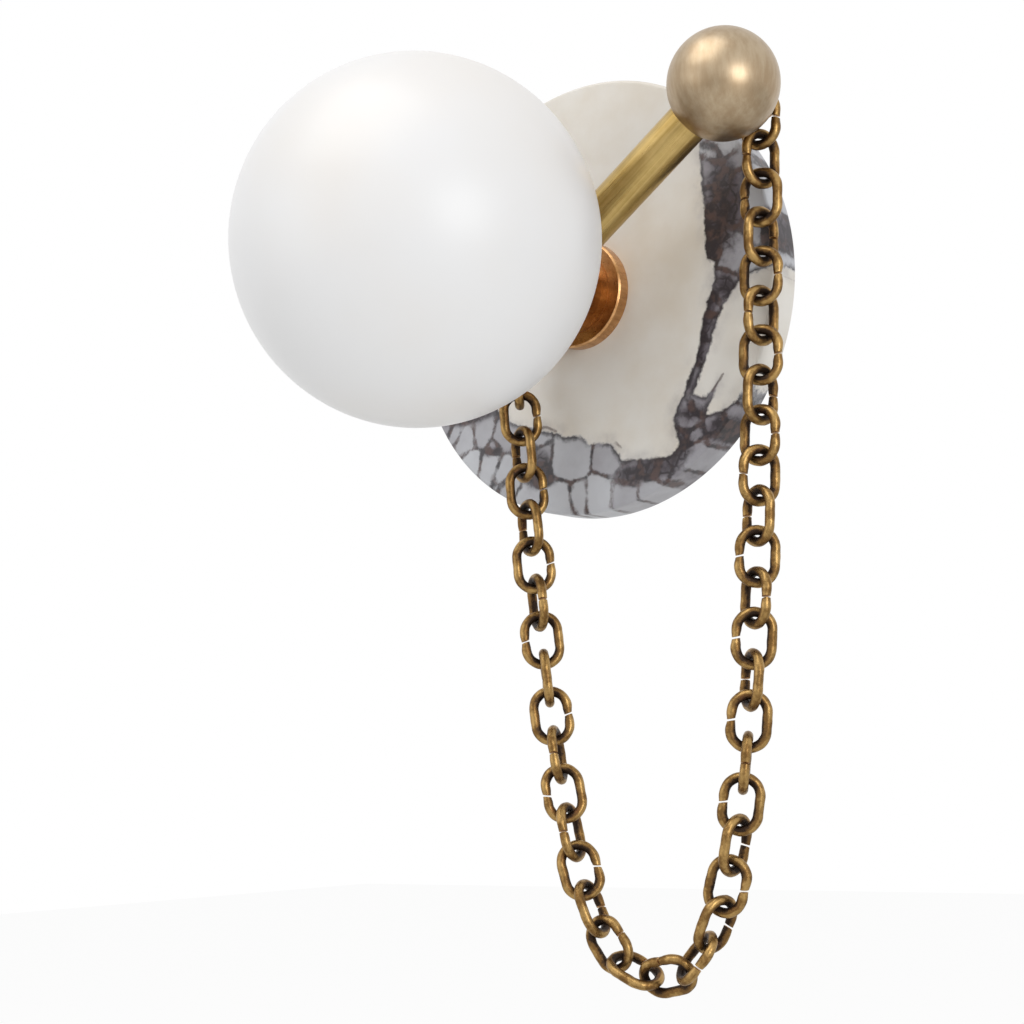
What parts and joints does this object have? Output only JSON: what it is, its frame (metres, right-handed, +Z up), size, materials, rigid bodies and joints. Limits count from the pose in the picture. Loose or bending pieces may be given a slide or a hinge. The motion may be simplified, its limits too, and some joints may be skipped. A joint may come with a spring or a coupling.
{
  "type": "wall sconce",
  "caption": "Wall light with an opal glass globe before a round marble disc, a slanting brass arm that ends in a ball, and a hanging chain from the ball to the arm's tail.",
  "frame": {"origin": "centre of the marble disc's back face, on the wall plane", "axes": "+X right, +Z up, -Y out from the wall into the room"},
  "size_m": [0.2222, 0.207, 0.4077],
  "materials": {
    "marble": "honed",
    "satin_brass": "satin",
    "champagne_brass": "satin",
    "antique_brass": "antique, worn on the ridges",
    "zinc_steel": "zinc plated",
    "spring_steel": "plain",
    "opal_glass": "satin opal",
    "porcelain": "unglazed",
    "bulb_glass": "frosted",
    "wire_insulation": "matte"
  },
  "bodies": {
    "root": {"marble_backplate": "marble", "wall_bracket": "zinc_steel", "centre_nipple": "zinc_steel", "nipple_nuts": "zinc_steel", "boss": "satin_brass", "hub": "satin_brass", "arm_grub_screw": "satin_brass", "arm_tube": "satin_brass", "arm_end_cap": "satin_brass", "arm_ball": "champagne_brass", "ball_joint_stud": "zinc_steel", "chain_studs": "antique_brass", "globe_fitter": "satin_brass", "fitter_springs": "spring_steel", "lamp_holder": "porcelain", "lead_wires": "wire_insulation", "link_01": "antique_brass", "link_41": "antique_brass"},
    "chain": {"link_02": "antique_brass", "link_03": "antique_brass", "link_04": "antique_brass", "link_05": "antique_brass", "link_06": "antique_brass", "link_07": "antique_brass", "link_08": "antique_brass", "link_09": "antique_brass", "link_10": "antique_brass", "link_11": "antique_brass", "link_12": "antique_brass", "link_13": "antique_brass", "link_14": "antique_brass", "link_15": "antique_brass", "link_16": "antique_brass", "link_17": "antique_brass", "link_18": "antique_brass", "link_19": "antique_brass", "link_20": "antique_brass", "link_21": "antique_brass", "link_22": "antique_brass", "link_23": "antique_brass", "link_24": "antique_brass", "link_25": "antique_brass", "link_26": "antique_brass", "link_27": "antique_brass", "link_28": "antique_brass", "link_29": "antique_brass", "link_30": "antique_brass", "link_31": "antique_brass", "link_32": "antique_brass", "link_33": "antique_brass", "link_34": "antique_brass", "link_35": "antique_brass", "link_36": "antique_brass", "link_37": "antique_brass", "link_38": "antique_brass", "link_39": "antique_brass", "link_40": "antique_brass"},
    "globe_body": {"globe": "opal_glass"},
    "lamp": {"bulb": "bulb_glass"}
  },
  "joints": [
    {"name": "chain_swing", "type": "hinge", "parent": "root", "child": "chain", "pos_m": [-0.0236, -0.0379, -0.03347], "axis": [-0.8464, -0.0802, -0.5266], "range_deg": [-1, 15]},
    {"name": "globe_lift", "type": "slide", "parent": "root", "child": "globe_body", "axis": [0, -1, 0], "range_m": [0, 0.06]},
    {"name": "bulb_pull", "type": "slide", "parent": "root", "child": "lamp", "axis": [0, -1, 0], "range_m": [0, 0.014]}
  ]
}
